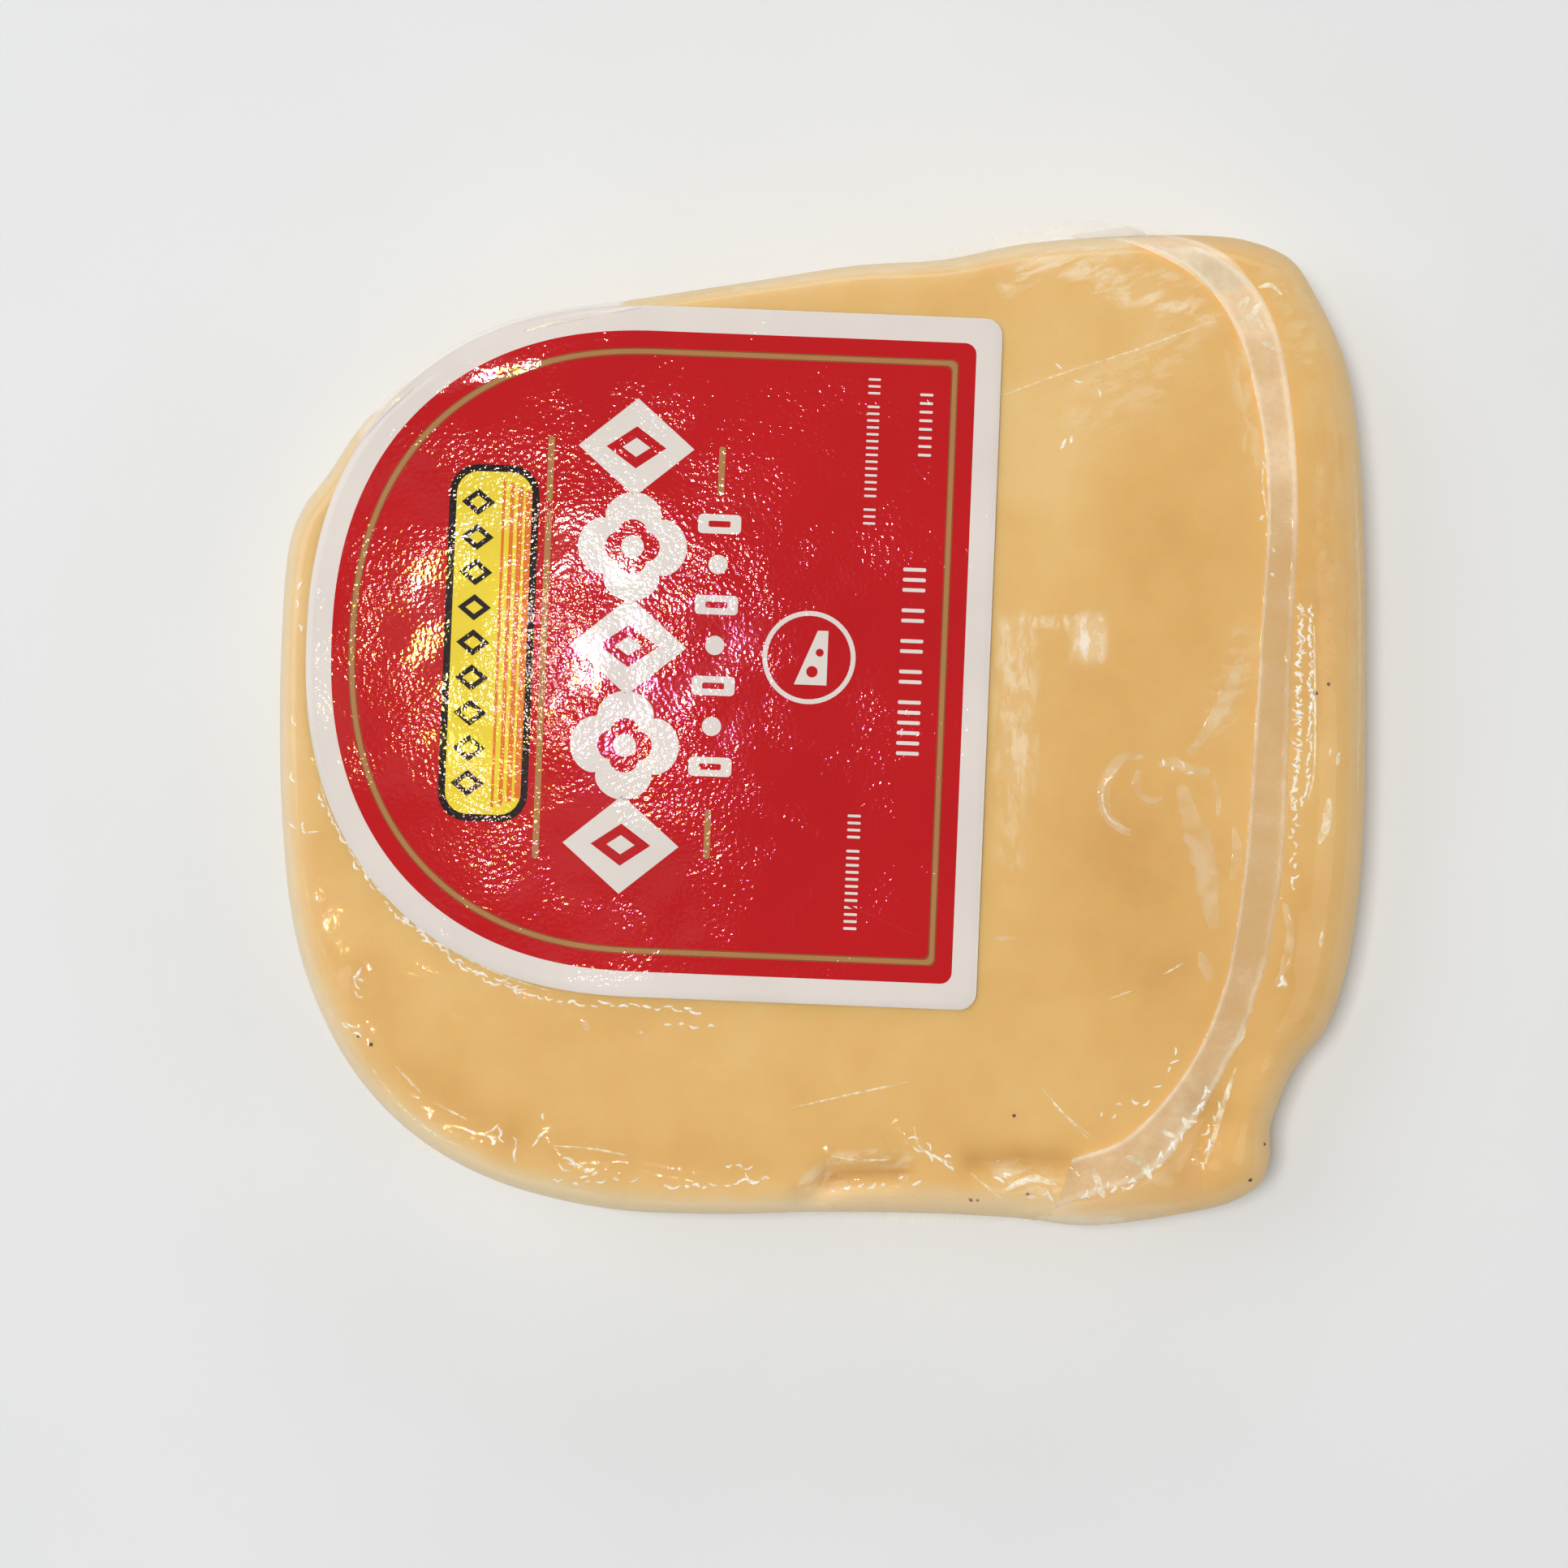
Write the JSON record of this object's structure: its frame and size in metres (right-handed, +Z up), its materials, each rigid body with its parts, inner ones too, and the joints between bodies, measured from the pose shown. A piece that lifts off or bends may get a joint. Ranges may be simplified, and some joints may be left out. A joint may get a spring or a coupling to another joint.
{
  "type": "film-packed cheese slab",
  "caption": "Rounded slab of yellow semi-hard cheese shut in clear vacuum film, lying flat, with a red arch-shaped label on top and a pale folded heat seal at one side.",
  "frame": {"origin": "under the middle of the pack's bounding box, on the surface that it lies on", "axes": "+Z up out of the labelled face; +X along the pack's length, from the label's arch towards the folded heat seal; +Y across it"},
  "size_m": [0.126, 0.1173, 0.0227],
  "materials": {
    "cheese": "semi-hard yellow cheese, smooth cut faces with soft mottling, slightly translucent",
    "film": "clear glossy shrink film with fine wrinkles, milky where it is welded or folded",
    "label": "varnished paper, red field with a white border and a thin bronze line, fine orange-peel gloss"
  },
  "bodies": {
    "root": {"pack": "cheese", "label": "label", "seal_strip": "film"}
  },
  "joints": []
}
